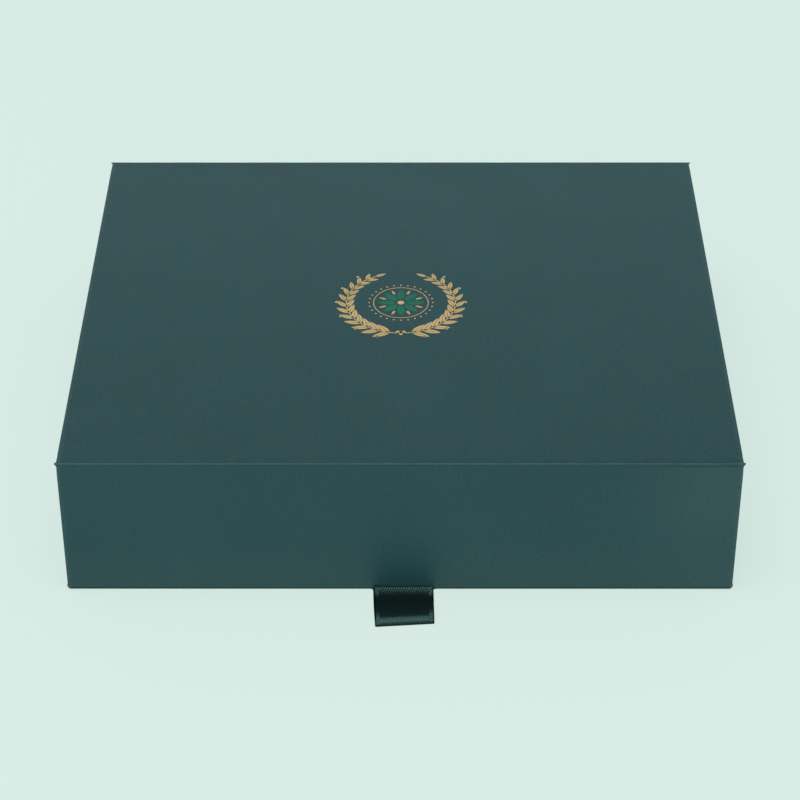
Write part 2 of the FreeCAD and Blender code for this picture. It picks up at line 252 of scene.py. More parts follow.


# %% [markdown]
# ## Soft-touch paper
# The case is wrapped in printed paper with a rubbery, matt film. Under a soft light it looks
# greyer where it is seen at a flat angle, which the shader's own gloss does. The colour drifts
# a little over a few millimetres and over a few centimetres, and a few pale dust specks sit on
# it. Three numbers that the papers carry on their points add tints: one lightens the edges,
# partly as wear and partly as a painted highlight on their rounding, one is a painted highlight
# along a fold's ridge, and one is painted shade in the groove before the ridge, where the film
# is also duller. The lid is painted lighter towards its back, and the flap towards its right
# end and near its foot: painted light standing in for the lamps and the floor's reflection.

# %% Tints and sizes of the paper
paper_green = (0.0070, 0.0550, 0.0610)
liner_share = 0.96
slow_tint, slow_size = (0.003, 0.012, 0.013), 40 * mm
hue_tint, hue_size = (-0.010, 0.004, 0.008), 2.6 * mm
fleck_tint, fleck_size = (0.004, 0.015, 0.016), 1.3 * mm
# The edge tint is partly wear and partly a painted highlight on the rounded edges.
rub_and_sheen_tint = (0.022, 0.026, 0.030)
# The ridge tint is a painted highlight along a fold's ridge.
ridge_highlight_tint = (0.002, 0.024, 0.026)
# The groove tint is painted shade in the dip before a fold's ridge, where the film is also duller.
groove_painted_shade, groove_dull = (-0.011, -0.017, -0.018), 0.25
crease_patch_size, crease_patch_least = 9 * mm, 0.4
# Painted light: the lid is painted lighter towards its back.
back_sheen_tint = (0.005, 0.011, 0.012)
# Painted light: the flap is painted lighter towards its right end, in place of a reflection.
right_sheen_tint, right_sheen_least = (0.013, 0.013, 0.013), 0.35
right_sheen_from, right_sheen_to = 85 * mm, 130 * mm
right_sheen_low, right_sheen_high = 12 * mm, 46 * mm
# Painted reflection: the flap's lower part is painted lighter, as the floor would light it.
foot_reflection_tint, foot_reflection_height = (0.006, 0.004, 0.003), 30 * mm
dust = (0.16, 0.20, 0.20)
dust_spacing, dust_radius, dust_share = 22 * mm, 0.22 * mm, 0.10
film_size, film_least, film_most = 25 * mm, 0.43, 0.49
wave_size, wave_height = 30 * mm, 0.06 * mm
tooth_size, tooth_height = 0.35 * mm, 0.012 * mm


# %% Patterns of the paper
def plus(tree, tone, share, tint):
    """The tone with a share of a tint added to it."""
    return sums(tree, "MULTIPLY_ADD", share, tint, tone, kind="VectorMath")


def drifting(tree, tone, value, tint):
    """The tone moved to both sides by a tint, as a value goes from 0 to 1."""
    return plus(tree, tone, sums(tree, "SUBTRACT", value, 0.5), tint)


def blots(tree, where, size, detail=2.0, roughness=0.5, least=0.0):
    """Noise with a stronger contrast, from least to 1."""
    return smooth(tree, grain(tree, where, size, detail, roughness), 0.3, 0.7, least)


def specks(tree, where):
    """1 on a few tiny specks of dust, and 0 elsewhere."""
    cells = node(tree, "TexVoronoi", Vector=where, Scale=1 / dust_spacing)
    near = sums(tree, "LESS_THAN", cells.outputs["Distance"], dust_radius / dust_spacing)
    parts = node(tree, "SeparateColor", Color=cells.outputs["Color"])
    few = sums(tree, "GREATER_THAN", parts.outputs[0], 1 - dust_share)
    return sums(tree, "MULTIPLY", near, few)


# %% Papers
def soft_touch(name, colour, sheen_and_dust=""):
    material, tree, shader = finish(name, Roughness=0.46, IOR=1.41)
    where = place(tree)
    x, y, z = node(tree, "SeparateXYZ", Vector=where).outputs
    flecks = blots(tree, where, fleck_size, 2.0, 0.7)
    crease_patches = blots(tree, where, crease_patch_size, least=crease_patch_least)
    tone = drifting(tree, colour, grain(tree, where, slow_size), slow_tint)
    tone = drifting(tree, tone, blots(tree, where, hue_size, 3.0, 0.7), hue_tint)
    tone = drifting(tree, tone, flecks, fleck_tint)
    rub_and_sheen, ridge, deep = (carried(tree, layer) for layer in ("rub_and_sheen", "ridge", "groove"))
    # Each mark adds its tint: the edge tint is partly wear and partly painted highlight, the ridge tint is a
    # painted highlight, and the groove tint is painted shade.
    wear_and_painted_light = (rub_and_sheen, flecks, rub_and_sheen_tint), (ridge, crease_patches, ridge_highlight_tint), (deep, crease_patches, groove_painted_shade)
    for marked, share, tint in wear_and_painted_light:
        tone = plus(tree, tone, sums(tree, "MULTIPLY", marked, share), tint)
    # Painted light: the lid's paper is painted lighter towards its back.
    if sheen_and_dust == "back":
        tone = drifting(tree, tone, smooth(tree, y, case_front, case_back), back_sheen_tint)
    # Painted light: the flap is painted lighter towards its right end and near its foot.
    if sheen_and_dust == "right":
        rightwards = smooth(tree, x, right_sheen_from, right_sheen_to)
        upwards = smooth(tree, z, right_sheen_low, right_sheen_high, right_sheen_least)
        tone = plus(tree, tone, sums(tree, "MULTIPLY", rightwards, upwards), right_sheen_tint)
        # Painted reflection: lighter towards the foot, as the floor would light it.
        tone = plus(tree, tone, smooth(tree, z, foot_reflection_height, 0.0), foot_reflection_tint)
    if sheen_and_dust:
        tone = mixed(tree, specks(tree, where), tone, dust)
    film = between(tree, grain(tree, where, film_size), film_least, film_most)
    dulled = sums(tree, "MULTIPLY_ADD", deep, groove_dull, film)
    fill(tree, shader, Base_Color=tone, Roughness=dulled)
    bumped(
        tree, shader,
        (grain(tree, where, wave_size), wave_height, 0.5),
        (grain(tree, where, tooth_size, 3.0), tooth_height, 0.35),
    )
    return material


case_paper = soft_touch("soft_touch_case_paper", paper_green, "back")
flap_film = soft_touch("soft_touch_flap_paper", paper_green, "right")
liner_paper = soft_touch("soft_touch_liner_paper", tuple(c * liner_share for c in paper_green))
print("papers", case_paper.name, flap_film.name, liner_paper.name)

# %% [markdown]
# ## Satin ribbon
# Satin is woven with long floating threads, so it mirrors softly, and it shows fine slanted
# lines where the floats end, because the ends are dull. The lines open where the ribbon bends,
# most of all at the flap, and nearly close between. Both edges are woven firmer, with short
# cross threads. The pattern follows the ribbon, so it reads the ribbon's own map, which is kept
# in metres: U runs across from the left edge and V runs along.

# %% Ribbon
ribbon_width = 25 * mm
ribbon_thickness = 0.25 * mm
twill_pitch, twill_slant = 1.01 * mm, 0.38
tick_pitch, tick_lean = 1.0 * mm, -0.6
thread_pitch, thread_share = 0.21 * mm, 0.25
# The shade colour is painted shade for the ribbon's outermost edges and its front fold.
satin_painted_shade = (0.005, 0.011, 0.011)
satin_dull = (0.012, 0.028, 0.027)
satin_mean = (0.030, 0.070, 0.068)
satin_bright = (0.042, 0.098, 0.096)
root_zone, calm_twill = (22 * mm, 19 * mm), 0.14
nose_zone, nose_twill = (31 * mm, 35 * mm), 0.26
selvedge = 2.0 * mm
outermost = 0.5 * mm


def lines(tree, value, pitch):
    """A wave from -1 to 1 that repeats with a pitch."""
    return sums(tree, "SINE", sums(tree, "MULTIPLY", value, 2 * math.pi / pitch))


def satin(name):
    material, tree, shader = finish(name, Metallic=0.9, Roughness=0.34, IOR=1.5, Anisotropic=0.45)
    uv = node(tree, "UVMap").outputs["UV"]
    across, along, _ = node(tree, "SeparateXYZ", Vector=uv).outputs
    slanted = sums(tree, "MULTIPLY_ADD", along, twill_slant, across)
    twill = lines(tree, slanted, twill_pitch)
    threads = lines(tree, across, thread_pitch)
    leaning = sums(tree, "MULTIPLY_ADD", across, tick_lean, along)
    middle = sums(tree, "ABSOLUTE", sums(tree, "SUBTRACT", across, ribbon_width / 2))
    edge = sums(tree, "GREATER_THAN", middle, ribbon_width / 2 - selvedge)
    weave = node(tree, "Mix", Factor=edge)
    wire(tree, sums(tree, "MULTIPLY_ADD", threads, thread_share, twill), weave.inputs[2])
    wire(tree, lines(tree, leaning, tick_pitch), weave.inputs[3])
    relief = sums(tree, "MULTIPLY_ADD", weave.outputs[0], 0.5, 0.5)
    root = smooth(tree, along, *root_zone, calm_twill)
    opened = sums(tree, "MULTIPLY_ADD", smooth(tree, along, *nose_zone), nose_twill, root)
    streaks = ramp(tree, relief, (0.15, satin_dull), (0.55, satin_bright))
    colour = mixed(tree, opened, satin_mean, streaks)
    # Painted shade: the outermost edges and the front fold are darkened to the shade colour.
    rim_shade = sums(tree, "GREATER_THAN", middle, ribbon_width / 2 - outermost)
    shaded = sums(tree, "MAXIMUM", rim_shade, carried(tree, "crease"))
    colour = mixed(tree, shaded, colour, satin_painted_shade)
    tangent = node(tree, "Tangent")
    tangent.direction_type = "UV_MAP"
    fill(tree, shader, Base_Color=colour, Tangent=tangent.outputs[0])
    drift = grain(tree, place(tree), 6 * mm)
    bumped(tree, shader, (relief, 0.12 * mm, 0.8), (drift, 0.15 * mm, 0.4))
    return material


ribbon_satin = satin("satin_ribbon_weave")
print("ribbon", ribbon_satin.name)

# %% [markdown]
# ## Finishes of the hidden pieces
# The boards are grey chipboard with dark and pale fibres, the tray's corners are held with
# brown gummed tape, a thin white tape covers each magnet, and the magnets are nickel plated.
# None of them shows on the closed box, but a piece that is taken apart should look right too.

# %% Hidden finishes
board_greys = (0.17, 0.155, 0.135), (0.29, 0.27, 0.24), (0.40, 0.38, 0.34)
nickel_greys = (0.55, 0.53, 0.50), (0.68, 0.66, 0.62)
tape_dark, tape_pale, palest = 0.82, 1.14, 0.9


def chipboard():
    material, tree, shader = finish("greyboard", Roughness=0.88, IOR=1.4)
    drawn_out = node(tree, "Mapping", Vector=place(tree), Scale=(1.0, 0.25, 1.0))
    fibres = grain(tree, drawn_out.outputs[0], 0.7 * mm, 6.0, 0.7)
    fill(tree, shader, Base_Color=ramp(tree, fibres, *zip((0.30, 0.5, 0.72), board_greys)))
    bumped(tree, shader, (fibres, 0.08 * mm, 0.5))
    return material


def tape(name, colour, fibre):
    material, tree, shader = finish(name, Roughness=0.6, IOR=1.45)
    drift = grain(tree, place(tree), fibre, 5.0, 0.65)
    tones = [tuple(min(c * by, palest) for c in colour) for by in (tape_dark, tape_pale)]
    fill(tree, shader, Base_Color=ramp(tree, drift, *zip((0.3, 0.7), tones)))
    bumped(tree, shader, (drift, 0.03 * mm, 0.4))
    return material


def nickel():
    material, tree, shader = finish("nickel_plating", Metallic=1.0, Roughness=0.22)
    where = place(tree)
    colour = ramp(tree, grain(tree, where, 0.5 * mm, 4.0), *zip((0.3, 0.7), nickel_greys))
    marked = between(tree, grain(tree, where, 3 * mm), 0.14, 0.32)
    fill(tree, shader, Base_Color=colour, Roughness=marked)
    return material


node_finish = {
    "greyboard": chipboard(),
    "stay_tape": tape("gummed_kraft_tape", (0.42, 0.26, 0.13), 1.2 * mm),
    "pocket_tape": tape("white_paper_tape", (0.62, 0.58, 0.50), 0.8 * mm),
    "magnet_plating": nickel(),
    "case_paper": case_paper,
    "liner_paper": liner_paper,
    "satin_ribbon": ribbon_satin,
}
parts = frame["record"]["subparts"]
for part in parts:
    mesh = frame["nodes"][part["node"]].data
    mesh.materials.clear()
    mesh.materials.append(node_finish[part["material_slot"]])
print("finished nodes", len(parts))

# %% [markdown]
# ## Helpers for pieces
# A new piece is shaped in a bmesh. Then each of its shells is turned outwards: where the volume,
# counted with the normals, is below zero, Blender has chosen the wrong side. The mesh gets soft
# shading up to an angle and its finish, rides on its body, and hides the packed nodes that it
# stands for.

# %% Piece helpers
def turn_outwards(bm):
    """Makes each separate shell's faces agree and point away from its inside."""
    bmesh.ops.recalc_face_normals(bm, faces=bm.faces[:])
    left = set(bm.faces)
    while left:
        shell, front_line = set(), [left.pop()]
        while front_line:
            face = front_line.pop()
            shell.add(face)
            beside = {other for e in face.edges for other in e.link_faces} & left
            left -= beside
            front_line += beside
        volume = sum(f.calc_center_median().dot(f.normal) * f.calc_area() for f in shell)
        if volume < 0:
            bmesh.ops.reverse_faces(bm, faces=list(shell))


def piece(name, bm, material, sharp=40, body=None, stands_for=()):
    """An object from a finished bmesh. A folding piece gets no body yet."""
    turn_outwards(bm)
    mesh = bpy.data.meshes.new(name)
    bm.to_mesh(mesh)
    bm.free()
    mesh.materials.append(material)
    mesh.shade_smooth()
    mesh.set_sharp_from_angle(angle=math.radians(sharp))
    made = added(name, mesh)
    if body:
        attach(made, body)
    if stands_for:
        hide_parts(*stands_for)
    print(name, len(mesh.vertices), "points", len(mesh.polygons), "faces")
    return made


# %% Shaping helpers
touching = 1e-6
sharp_turn = 1.0
back, front, top, bottom = (0, 1, 0), (0, -1, 0), (0, 0, 1), (0, 0, -1)


def cuboid(low, high):
    """A bmesh box between two corners."""
    bm = bmesh.new()
    bmesh.ops.create_cube(bm, size=1)
    low, high = Vector(low), Vector(high)
    bmesh.ops.scale(bm, vec=high - low, verts=bm.verts[:])
    bmesh.ops.translate(bm, vec=(low + high) / 2, verts=bm.verts[:])
    return bm


def cut(bm, axis, at, faces=None):
    """A cut across the mesh, or across some of its faces, where a coordinate has a value."""
    normal = Vector((0, 0, 0))
    normal[axis] = 1
    faces = bm.faces[:] if faces is None else faces
    edges = list({e for f in faces for e in f.edges})
    points = list({v for f in faces for v in f.verts})
    bmesh.ops.bisect_plane(
        bm, geom=faces + edges + points, dist=1e-7, plane_co=normal * at, plane_no=normal
    )


def soften(bm, edges):
    """Rounds edges as paper rounds a board."""
    bmesh.ops.bevel(
        bm, geom=edges, offset=edge_radius, segments=4, profile=0.5, material=-1, affect="EDGES"
    )


def facing(bm, way):
    """The faces that look that way."""
    bm.normal_update()
    return [f for f in bm.faces if f.normal.dot(Vector(way)) > 0.99]


def highest(bm):
    return max(bm.faces, key=lambda f: f.calc_center_median().z)


def points_of(made):
    """The points among what an operator made."""
    return [g for g in made["geom"] if isinstance(g, bmesh.types.BMVert)]


def push(bm, faces, way, keep=False):
    """Extrudes faces along a way."""
    made = bmesh.ops.extrude_face_region(bm, geom=faces, use_keep_orig=keep)
    bmesh.ops.translate(bm, vec=way, verts=points_of(made))


def crosswise(edge):
    """True for an edge that lies in a plane across X."""
    return abs(edge.verts[0].co.x - edge.verts[1].co.x) < 1e-9


def pull_across(bm, chain, stations):
    """Joins a chain of points and pulls it along X through the stations."""
    edges = [bm.edges.new(pair) for pair in zip(chain, chain[1:])]
    for here, there in zip(stations, stations[1:]):
        made = bmesh.ops.extrude_edge_only(bm, edges=edges)
        bmesh.ops.translate(bm, vec=(there - here, 0, 0), verts=points_of(made))
        edges = [g for g in made["geom"] if isinstance(g, bmesh.types.BMEdge) and crosswise(g)]


def thicken(bm, thickness, face=None, way=top):
    """Gives a sheet its thickness inwards. If a face is given, it has to look that way."""
    bmesh.ops.recalc_face_normals(bm, faces=bm.faces[:])
    if face is not None and face.normal.dot(Vector(way)) < 0:
        bmesh.ops.reverse_faces(bm, faces=bm.faces[:])
    bmesh.ops.solidify(bm, geom=bm.faces[:], thickness=thickness)


# %% [markdown]
# ## Wrapped boards
# The case paper goes over each board, round its edges and 15 mm in on the other side. A cube
# makes that in a few steps: its ends are opened where a fold carries on, its long edges are
# rounded as paper rounds a board, a window is cut into the inner side, and the sheet then gets
# its thickness inwards. Close to a fold the paper is pulled in a little, so the sheet has a few
# extra cuts there. At the flap's lower corners the tucked paper makes a small lump.

# %% A sheet round a board
pull_in, pull_reach, pull_cuts = 0.12 * mm, 6 * mm, (0.25, 0.6, 1.0)
rub_and_sheen_reach = 1.8 * mm
tuck_reach, tuck_height, tuck_cuts = 0.28 * mm, 1.0 * mm, (0.2, 0.5, 0.9, 1.3, 1.7)
tuck_middle, tuck_half = 0.9, 0.8


def edge_rub_and_sheen(x, end):
    """1 at the side edges of the case, falling to 0 a little inside them."""
    return max(0.0, min(1.0, 1 - (end - abs(x)) / rub_and_sheen_reach))


def wrapped(low, high, open_sides, inner_side, window):
    """A sheet wrapped round a board. window is a list of (axis, low, high) on the inner side."""
    bm = cuboid(low, high)
    ends = []
    for side in open_sides:
        axis = [abs(c) for c in side].index(1)
        ends.append((axis, side[axis], (high if side[axis] > 0 else low)[axis]))
        bmesh.ops.delete(bm, geom=facing(bm, side), context="FACES")
    for axis, way, at in ends:
        for share in pull_cuts:
            cut(bm, axis, at - way * pull_reach * share)
    inner_edges = [e for e in bm.edges if not e.is_boundary]
    soften(bm, [e for e in inner_edges if e.calc_face_angle() > sharp_turn])
    for side in (-1, 1):
        cut(bm, 0, side * (case_half - edge_radius - rub_and_sheen_reach))
    for axis, start, end in window:
        for at in (start, end):
            cut(bm, axis, at, facing(bm, inner_side))
    inside = [
        f for f in facing(bm, inner_side)
        if all(start < f.calc_center_median()[axis] < end for axis, start, end in window)
    ]
    bmesh.ops.delete(bm, geom=inside, context="FACES")
    for axis, way, at in ends:
        for v in bm.verts:
            share = 1 - abs(v.co[axis] - at) / pull_reach
            if share > 0 and abs(v.co.x) > case_half - 1.2 * edge_radius:
                v.co.x -= math.copysign(pull_in * share * share, v.co.x)
    # The side edges are lightened, partly as wear and partly as a painted highlight on their rounding.
    rub_and_sheen = bm.verts.layers.float.new("rub_and_sheen")
    for v in bm.verts:
        v[rub_and_sheen] = edge_rub_and_sheen(v.co.x, case_half - edge_radius)
    return bm


def tuck_corners(bm, foot):
    """A small lump at each lower corner, where the paper's corner is folded in, and a painted highlight along the
    foot's rounded edge.
    """
    for rise in tuck_cuts:
        cut(bm, 2, foot + rise * tuck_height)
    rub_and_sheen = bm.verts.layers.float["rub_and_sheen"]
    for v in bm.verts:
        share = 1 - abs((v.co.z - foot) / tuck_height - tuck_middle) / tuck_half
        if share > 0 and abs(v.co.x) > case_half - 0.6 * edge_radius:
            v.co.x += math.copysign(tuck_reach * math.sqrt(share), v.co.x)
        # Painted highlight: the foot's rounded edge gets the full edge tint, as the floor's reflection would
        # light it.
        if v.co.z < foot + 1.2 * edge_radius:
            v[rub_and_sheen] = 1.0
    return bm


# %% Lid, flap, spine and base papers
def skin(name, node_name, sheet, body, material=case_paper):
    """The finished paper from a bare sheet."""
    thicken(sheet, paper)
    return piece(name, sheet, material, body=body, stands_for=[node_name])


no_end = 1.0  # farther out than any board
across = (0, -window_half, window_half)
flap_window = (2, flap_low.z + paper + turn_in, no_end)
base_window = (1, base_low.y + paper + turn_in, no_end)
flap_corners = Vector((-case_half, *flap_low.yz)), Vector((case_half, *flap_high.yz))

skin("lid_paper", "lid_wrap", wrapped(lid_low, lid_high, [front, back], bottom, [across]), "lid")
flap_sheet = wrapped(*flap_corners, [top], back, [across, flap_window])
skin("flap_paper", "flap_wrap", tuck_corners(flap_sheet, flap_low.z), "flap", flap_film)
spine_sheet = wrapped(spine_low, spine_high, [top, bottom], front, [across])
skin("spine_paper", "spine_wrap", spine_sheet, "tray")
base_sheet = wrapped(base_low, base_high, [back], top, [across, base_window])
skin("base_paper", "base_wrap", base_sheet, "tray")

# %% [markdown]
# ## Paper folds
# Between two boards the case paper is left free, and it bends there: it dips into the gap,
# comes up over a narrow ridge and goes down to the next board. The line across the fold is
# drawn once as a chain of soft curves, in the fold's own frame: u runs along the first board
# towards the ridge and w runs out of it. The line is pulled along the box in short steps, so
# that noise can make the ridge a little uneven, as creased paper is. At both ends the paper is
# pinched into an ear, which stands out a little past the boards, and a small plug fills the
# hollow behind it, as glue does in a real fold.

# %% The line across a fold
ridge_radius = 0.75 * mm
groove = 0.34 * mm
far_groove = 0.18 * mm
fold_far = fold_reach + paper
steps_per_curve = 7


def soft_curve(points, steps):
    """A smooth chain through points, with a Bezier curve for each stretch."""
    points = [Vector(p) for p in points]
    chain = []
    for i in range(len(points) - 1):
        before, here = points[max(i - 1, 0)], points[i]
        there, after = points[i + 1], points[min(i + 2, len(points) - 1)]
        reach = (there - here).length / 3
        leave = (there - before).normalized() * reach
        arrive = (after - here).normalized() * reach
        chain += interpolate_bezier(here, here + leave, there - arrive, there, steps + 1)[:-1]
    return chain + [points[-1]]


slant = ridge_radius * (1 - math.sqrt(0.5))
dip = [(fold_far - before * ridge_radius, paper - depth * groove, 0) for before, depth in (
    (1.75, 0.9), (1.4, 1), (1.05, 0.45), (0.75, 0),
)]
line = soft_curve((
    (0, paper, 0),
    (0.35 * fold_far, paper - 0.25 * groove, 0),
    *dip,
    (fold_far - slant, paper - slant, 0),
    (fold_far, paper - ridge_radius, 0),
    (fold_far - far_groove, 0.5 * (paper - ridge_radius - fold_drop), 0),
    (fold_far, -fold_drop, 0),
), steps_per_curve)
print("points across a fold", len(line))


# %% Where a fold lies, and how it changes along the box
def frame_of_fold(origin, along, out):
    """Turns (x, u, w) into a point. along and out are the fold's directions in Y and Z."""
    return Matrix((
        (1, 0, 0, 0),
        (0, along[0], out[0], origin[0]),
        (0, along[1], out[1], origin[1]),
        (0, 0, 0, 1),
    ))


front_fold = frame_of_fold((lid_low.y, case_top - paper), (-1, 0), (0, 1))
back_fold = frame_of_fold((spine_high.y - paper, spine_high.z), (0, 1), (1, 0))
bottom_fold = frame_of_fold((base_high.y, paper), (1, 0), (0, -1))
fold_end = case_half - pull_in
even_half = fold_end - 4 * mm
even_steps = round(2 * even_half / (2.5 * mm))
even = [-even_half + 2 * even_half * i / even_steps for i in range(even_steps + 1)]
ear_length = 2.4 * mm
ear = [fold_end - d for d in (ear_length, 1.2 * mm, 0.5 * mm, 0.0)]
stations = [-x for x in reversed(ear)] + even + ear


def ridge_share(u, w, reach):
    """1 on top of the ridge, falling to 0 at that reach."""
    crest = Vector((fold_far - 0.3 * ridge_radius, paper - 0.3 * ridge_radius))
    return max(0.0, 1 - (Vector((u, w)) - crest).length / reach)


def groove_share(u):
    """0 at the first edge, 1 at the ridge's foot, and 0 from there on."""
    foot = fold_far - 0.9 * ridge_radius
    return max(0.0, min(1.0, 1.6 * (u / foot) ** 2 - 0.35)) if u < foot else 0.0


print("steps along a fold", len(stations) - 1)

# %% The paper of a fold
ear_reach, ear_half = 0.85 * mm, 1.35 * mm
ridge_shine = 1.45 * ridge_radius
crease_noise = 0.05 * mm
crease_waves = (1.0, 9 * mm, 4 * mm, 0), (0.5, 3 * mm, 2 * mm, 7)
plug_depth, plug_share = 0.5 * mm, 0.12


def under_fold(u_share, w_share):
    """A point in the hollow below the fold, in shares of its reach and drop."""
    return Vector((u_share * fold_far, -w_share * fold_drop, 0))


def plug_ends(bm):
    """Closes the hollow under the ridge at both ends, a little inside the paper's edge."""
    outline = [p.lerp(under_fold(0.32, 0.68), plug_share) for p in line] + [under_fold(0.1, 0.85)]
    for side in (-1, 1):
        ring = [bm.verts.new((side * (fold_end - plug_depth), p.x, p.y)) for p in outline]
        push(bm, [bm.faces.new(ring)], (-side * plug_depth, 0, 0), keep=True)


def crease(x, u, w, seed):
    """How far noise lifts the paper. It is calm at both edges, where the boards hold it."""
    calm = min(1.0, u / (1.5 * mm)) * min(1.0, (w + fold_drop) / (1.0 * mm))
    return crease_noise * calm * sum(
        share * noise.noise(Vector((x / length, u / width, seed + shift)))
        for share, length, width, shift in crease_waves
    )


def fold_paper(place_of, seed, rub_and_sheen_beyond):
    """The doubled paper over a fold, uneven along the ridge and pinched at both ends."""
    bm = bmesh.new()
    rub_and_sheen, ridge, deep = (bm.verts.layers.float.new(name) for name in ("rub_and_sheen", "ridge", "groove"))
    pull_across(bm, [bm.verts.new((stations[0], p.x, p.y)) for p in line], stations)
    for v in bm.verts:
        x, u, w = v.co
        in_ear = max(0.0, 1 - (fold_end - abs(x)) / ear_length) ** 1.5
        rise = crease(x, u, w, seed)
        v.co.x += math.copysign(ear_reach * ridge_share(u, w, ear_half) * in_ear, x)
        v.co.y += rise * 0.6
        v.co.z += rise
        # The ridge gets a painted highlight and the dip before it painted shade.
        v[ridge] = ridge_share(u, w, ridge_shine)
        v[deep] = groove_share(u)
        v[rub_and_sheen] = max(edge_rub_and_sheen(x, fold_end), rub_and_sheen_beyond if w < paper - ridge_radius else 0.0)
    thicken(bm, 2 * paper, highest(bm))
    plug_ends(bm)
    bm.transform(place_of)
    return bm


print("ears", ear_reach / mm, "mm")

# %% [markdown]
# ## Folds that move
# The fold over the spine follows the tray at its first edge and the lid at its last, and the
# front fold does the same for the lid and the flap. A blend turns each point by its share of
# the joint's angle. Inside, a strip of paper goes over the board edges beside each fold; its
# two halves lie on boards, so each of them simply rides on its own body.

# %% Fold pieces
def fold_piece(name, node_name, place_of, seed, bodies, rub_and_sheen_beyond=0.0):
    """A fold that rides on one body, or turns smoothly between two."""
    bm = fold_paper(place_of, seed, rub_and_sheen_beyond)
    made = piece(name, bm, case_paper, 70, stands_for=[node_name])
    if len(bodies) == 1:
        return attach(made, bodies[0])
    first, last = place_of @ Vector((0, 0, paper)), place_of @ Vector((0, fold_far, -fold_drop))
    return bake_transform(made, *bodies, start=first, end=last)


fold_piece("front_fold_paper", "front_hinge", front_fold, 11.0, ["lid", "flap"])
fold_piece("back_fold_paper", "back_hinge", back_fold, 23.0, ["tray", "lid"], 0.8)
fold_piece("bottom_fold_paper", "base_fold", bottom_fold, 37.0, ["tray"])

# %% Strips inside the folds
thin_paper = 0.9 * paper
inner_level = -board - paper
far_level = fold_reach - board - paper
near_strip = (
    (-hinge_leg, inner_level), (0.5 * paper, inner_level),
    (paper, inner_level + 0.5 * paper), (paper, -paper),
)
far_strip = (
    (fold_reach - paper, paper - fold_drop), (far_level + 0.5 * paper, paper - fold_drop),
    (far_level, 0.5 * paper - fold_drop), (far_level, -fold_drop - hinge_leg),
)


def strip(name, points, leg_way, place_of, body, node_name):
    """A strip over one board's edge. Its leg inside the board stops at the turned-in paper."""
    bm = bmesh.new()
    end = case_half - 2 * paper
    chain = [bm.verts.new((-end, u, w)) for u, w in points]
    pull_across(bm, chain, [-end, -window_half, window_half, end])
    beyond = [
        f for f in bm.faces if abs(f.calc_center_median().x) > window_half
        and max(e.calc_length() for e in f.edges if crosswise(e)) > 0.9 * hinge_leg
    ]
    bmesh.ops.delete(bm, geom=beyond, context="FACES")
    leg = max(bm.faces, key=lambda f: f.calc_area())
    thicken(bm, thin_paper, leg, leg_way)
    bm.transform(place_of)
    return piece(name, bm, liner_paper, body=body, stands_for=[node_name])


strip("lid_front_strip", near_strip, bottom, front_fold, "lid", "front_hinge_liner")
strip("flap_top_strip", far_strip, front, front_fold, "flap", "front_hinge_liner")
strip("spine_top_strip", near_strip, bottom, back_fold, "tray", "back_hinge_liner")
strip("lid_back_strip", far_strip, front, back_fold, "lid", "back_hinge_liner")

# %% [markdown]
# ## Liners
# The inside of lid and flap is covered by a sheet that stops 3 mm short of the edges. Paper
# shows what it covers: over the turned-in margins it lies one paper higher than in the middle,
# and over the ribbon's tails and the magnets' tape the flap's sheet rises again. Each rise is
# a rectangle cut twice, once at its foot and once at its top, and the points inside are moved.

# %% Lid and flap liners
slope = 0.7 * mm
tail_gap = 0.02 * mm


def raise_part(bm, across_range, along_axis, along_range, lift):
    """Moves a rectangle of the sheet by lift, with a slope round it."""
    ranges = (0, across_range), (along_axis, along_range)
    for grow in (0, slope):
        for axis, (low, high) in ranges:
            cut(bm, axis, low - grow)
            cut(bm, axis, high + grow)
    moved = [
        v for v in bm.verts
        if all(low - touching < v.co[axis] < high + touching for axis, (low, high) in ranges)
    ]
    bmesh.ops.translate(bm, vec=lift, verts=moved)


liner_half = case_half - paper - liner_margin
middle = (slope - window_half, window_half - slope)
lid_liner_low = (-liner_half, lid_low.y + liner_margin, lid_low.z - paper)
lid_liner_high = (liner_half, lid_high.y - liner_margin, lid_low.z)
bm = cuboid(lid_liner_low, lid_liner_high)
lid_middle = (lid_low.y + hinge_leg + slope, lid_high.y - hinge_leg - slope)
raise_part(bm, middle, 1, lid_middle, (0, 0, paper))
piece("lid_lining", bm, liner_paper, body="lid", stands_for=["lid_liner"])

flap_face = flap_low.y + 2 * paper + board
flap_foot = flap_low.z + paper
tape_low, tape_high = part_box("flap_magnet_tapes")
tape_side, tape_rise = tape_high.z - tape_low.z, tape_high.y - tape_low.y
tail_low, tail_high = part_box("pull_ribbon_tails")
flap_liner_low = (-liner_half, flap_face, flap_foot + liner_margin)
flap_liner_high = (liner_half, flap_face + paper, flap_high.z - liner_margin)
bm = cuboid(flap_liner_low, flap_liner_high)
flap_middle = (flap_foot + turn_in + slope, flap_high.z - hinge_leg - slope)
raise_part(bm, middle, 2, flap_middle, (0, -paper, 0))
for left in (tape_low.x, tape_high.x - tape_side):
    raise_part(bm, (left, left + tape_side), 2, (tape_low.z, tape_high.z), (0, tape_rise, 0))
tail_rise = tail_high.y - flap_face + tail_gap
raise_part(bm, (tail_low.x, tail_high.x), 2, (flap_foot, tail_high.z), (0, tail_rise, 0))
piece("flap_lining", bm, liner_paper, body="flap", stands_for=["flap_liner"])

# %% [markdown]
# ## Tray paper
# The tray is covered outside, over the rim and down inside. One cube gives all of it: the top
# is inset by the wall's thickness, the middle is pushed down to the floor, and the rim and the
# upright corners are rounded. In each inner corner the front and back papers lap 10 mm onto
# the side walls; their slanted ends at the rim show how the corner was folded.

